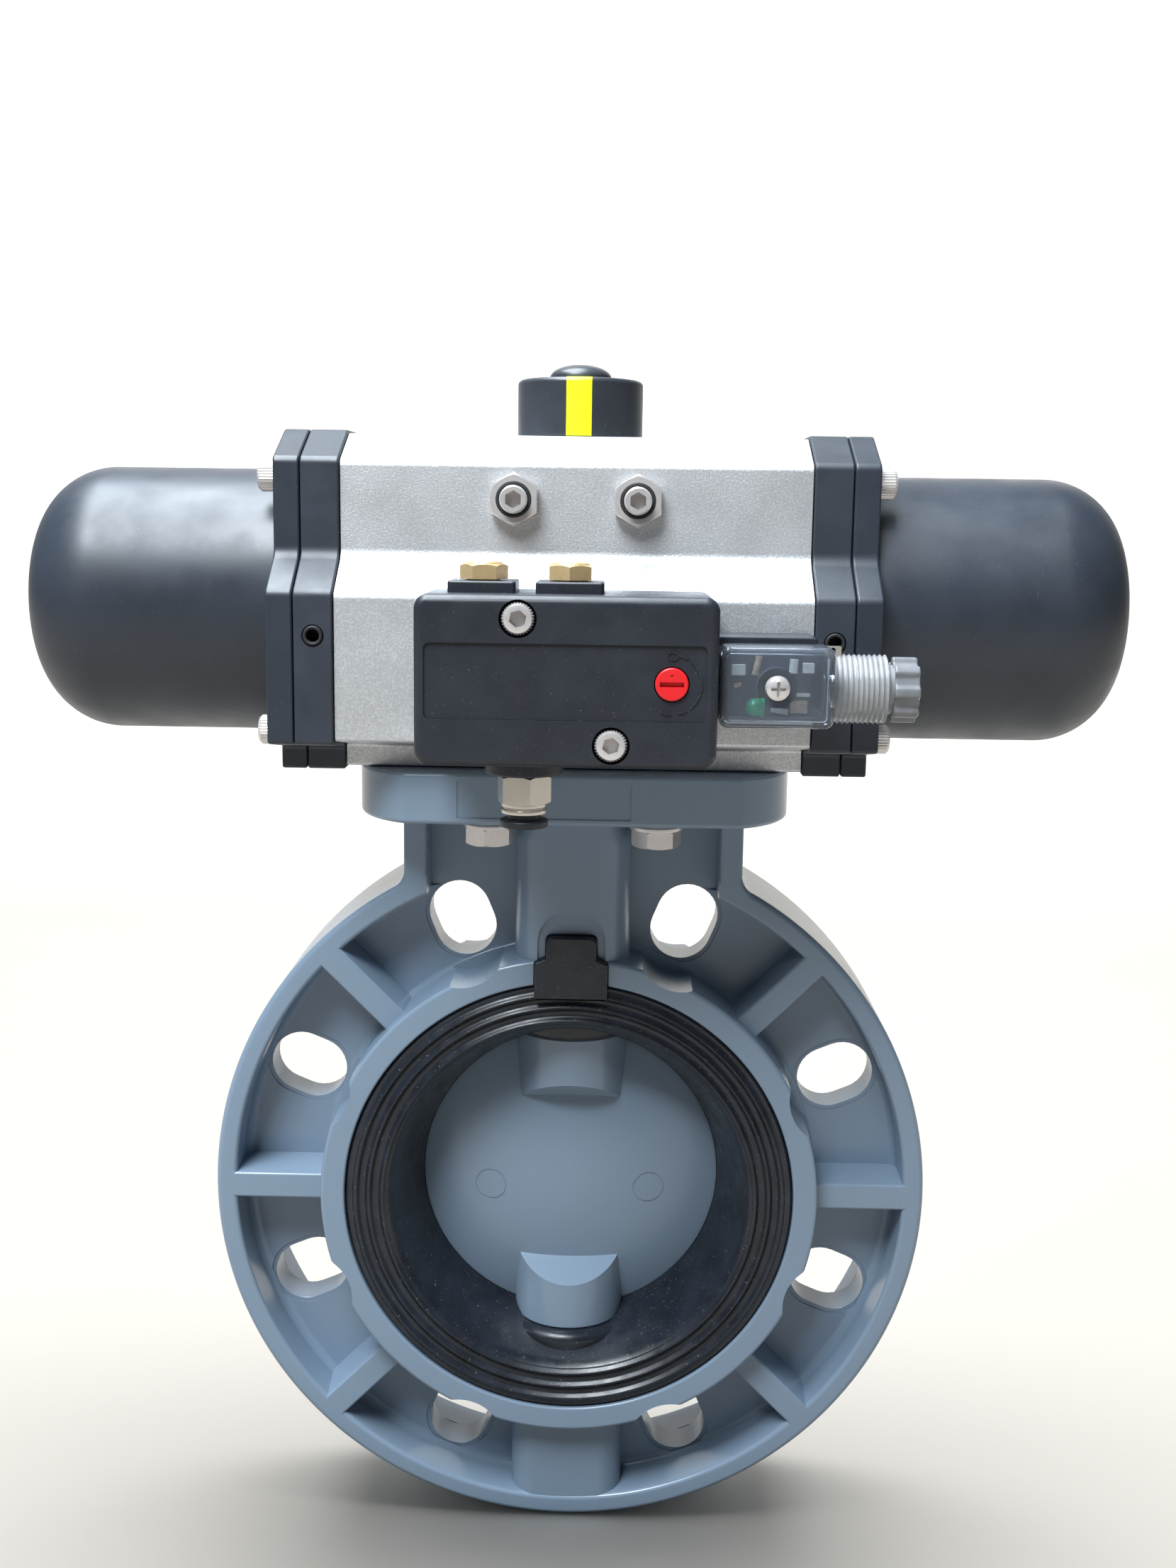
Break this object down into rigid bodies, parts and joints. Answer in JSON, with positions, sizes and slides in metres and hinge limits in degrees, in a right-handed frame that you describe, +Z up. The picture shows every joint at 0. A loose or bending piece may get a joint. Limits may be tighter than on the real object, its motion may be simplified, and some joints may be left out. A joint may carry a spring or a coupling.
{
  "type": "actuated butterfly valve",
  "caption": "Lugless plastic wafer butterfly valve with a rubber-seated disc, a spring-return rack-and-pinion air actuator, a position knob and a pilot solenoid valve.",
  "frame": {"origin": "centre of the pipe bore, where the disc's plane, the stem's axis and the flow axis meet", "axes": "+X along the actuator to the connector's end, +Y along the flow away from the solenoid valve, +Z up the stem"},
  "size_m": [0.327, 0.1419, 0.3619],
  "materials": {
    "body_plastic": "satin moulded PVC-U, blue-grey",
    "liner_rubber": "moulded black EPDM, semi-matte",
    "stainless": "bright turned stainless steel",
    "bush_plastic": "natural acetal",
    "anodised_aluminium": "bead-blasted, silver anodised, sparkling grain",
    "cap_plastic": "black powder coat, fine texture",
    "can_coating": "matte blue-black coating, faint handling marks",
    "cast_piston": "die cast, machined on the faces",
    "spring_steel": "oiled spring wire",
    "pinion_steel": "machined, nickel plated",
    "seal_rubber": "moulded nitrile",
    "indicator_plastic": "satin black moulding",
    "indicator_yellow": "bright yellow insert",
    "solenoid_plastic": "black glass-filled nylon",
    "override_red": "red moulding",
    "silencer_brass": "turned brass",
    "fitting_nickel": "nickel-plated brass",
    "clear_plastic": "clear polycarbonate, slightly smoky",
    "board_green": "lamp board with resist",
    "gland_plastic": "smoky translucent nylon"
  },
  "bodies": {
    "housing": {"actuator_body": "anodised_aluminium", "air_fitting": "fitting_nickel", "cap_screw_left_1": "stainless", "cap_screw_left_2": "stainless", "cap_screw_left_3": "stainless", "cap_screw_left_4": "stainless", "cap_screw_right_1": "stainless", "cap_screw_right_2": "stainless", "cap_screw_right_3": "stainless", "cap_screw_right_4": "stainless", "coil_housing": "solenoid_plastic", "connector_base": "solenoid_plastic", "connector_board": "board_green", "connector_housing": "clear_plastic", "connector_screw": "stainless", "end_cap_left": "cap_plastic", "end_cap_right": "cap_plastic", "gland_nut": "gland_plastic", "interface_gasket": "seal_rubber", "mounting_bolt_1": "stainless", "mounting_bolt_2": "stainless", "mounting_bolt_3": "stainless", "mounting_bolt_4": "stainless", "pinion_bush_lower": "bush_plastic", "pinion_bush_upper": "bush_plastic", "return_spring_left": "spring_steel", "return_spring_right": "spring_steel", "seat_liner": "liner_rubber", "silencer_left": "silencer_brass", "silencer_right": "silencer_brass", "solenoid_body": "solenoid_plastic", "solenoid_screw_lower": "stainless", "solenoid_screw_upper": "stainless", "spring_can_left": "can_coating", "spring_can_right": "can_coating", "stem_bush_lower": "bush_plastic", "stem_bush_upper": "bush_plastic", "stem_seal": "seal_rubber", "stop_nut_left": "stainless", "stop_nut_right": "stainless", "stop_screw_left": "stainless", "stop_screw_right": "stainless", "valve_body": "body_plastic", "vent_port_left": "seal_rubber", "vent_port_right": "seal_rubber"},
    "valve_shaft": {"valve_disc": "body_plastic", "valve_stem": "stainless", "pinion_shaft": "pinion_steel", "indicator_knob": "indicator_plastic", "indicator_stripe": "indicator_yellow", "indicator_screw": "indicator_plastic"},
    "left_piston": {"piston_left": "cast_piston", "piston_seal_left": "seal_rubber"},
    "right_piston": {"piston_right": "cast_piston", "piston_seal_right": "seal_rubber"},
    "override": {"override_knob": "override_red"},
    "valve_spool": {"spool": "anodised_aluminium"},
    "pilot_plunger": {"plunger": "pinion_steel"},
    "tube_collar": {"release_collar": "solenoid_plastic"}
  },
  "joints": [
    {"name": "valve_turn", "type": "hinge", "parent": "housing", "child": "valve_shaft", "pos_m": [0, 0, 0], "axis": [0, 0, 1], "range_deg": [0, 90], "stiffness_Nm_per_rad": 1.6, "springref_deg": -45.84},
    {"name": "piston_left_slide", "type": "slide", "parent": "housing", "child": "left_piston", "axis": [-1, 0, 0], "range_m": [0, 0.02123], "deforming": ["return_spring_left"]},
    {"name": "piston_right_slide", "type": "slide", "parent": "housing", "child": "right_piston", "axis": [1, 0, 0], "range_m": [0, 0.02123], "deforming": ["return_spring_right"]},
    {"name": "override_turn", "type": "hinge", "parent": "housing", "child": "override", "pos_m": [0.0261, -0.0896, 0.1655], "axis": [0, 1, 0], "range_deg": [0, 90]},
    {"name": "spool_shift", "type": "slide", "parent": "housing", "child": "valve_spool", "axis": [-1, 0, 0], "range_m": [0, 0.004], "stiffness_N_per_m": 800, "springref_m": -0.002},
    {"name": "plunger_pull", "type": "slide", "parent": "housing", "child": "pilot_plunger", "axis": [1, 0, 0], "range_m": [0, 0.002], "stiffness_N_per_m": 400, "springref_m": -0.002},
    {"name": "collar_push", "type": "slide", "parent": "housing", "child": "tube_collar", "axis": [0, 0, 1], "range_m": [0, 0.0015], "stiffness_N_per_m": 1500, "springref_m": -0.001}
  ],
  "couplings": [
    {"joint": "piston_left_slide", "follows": "valve_turn", "m_per_rad": 0.0135},
    {"joint": "piston_right_slide", "follows": "valve_turn", "m_per_rad": 0.0135}
  ]
}
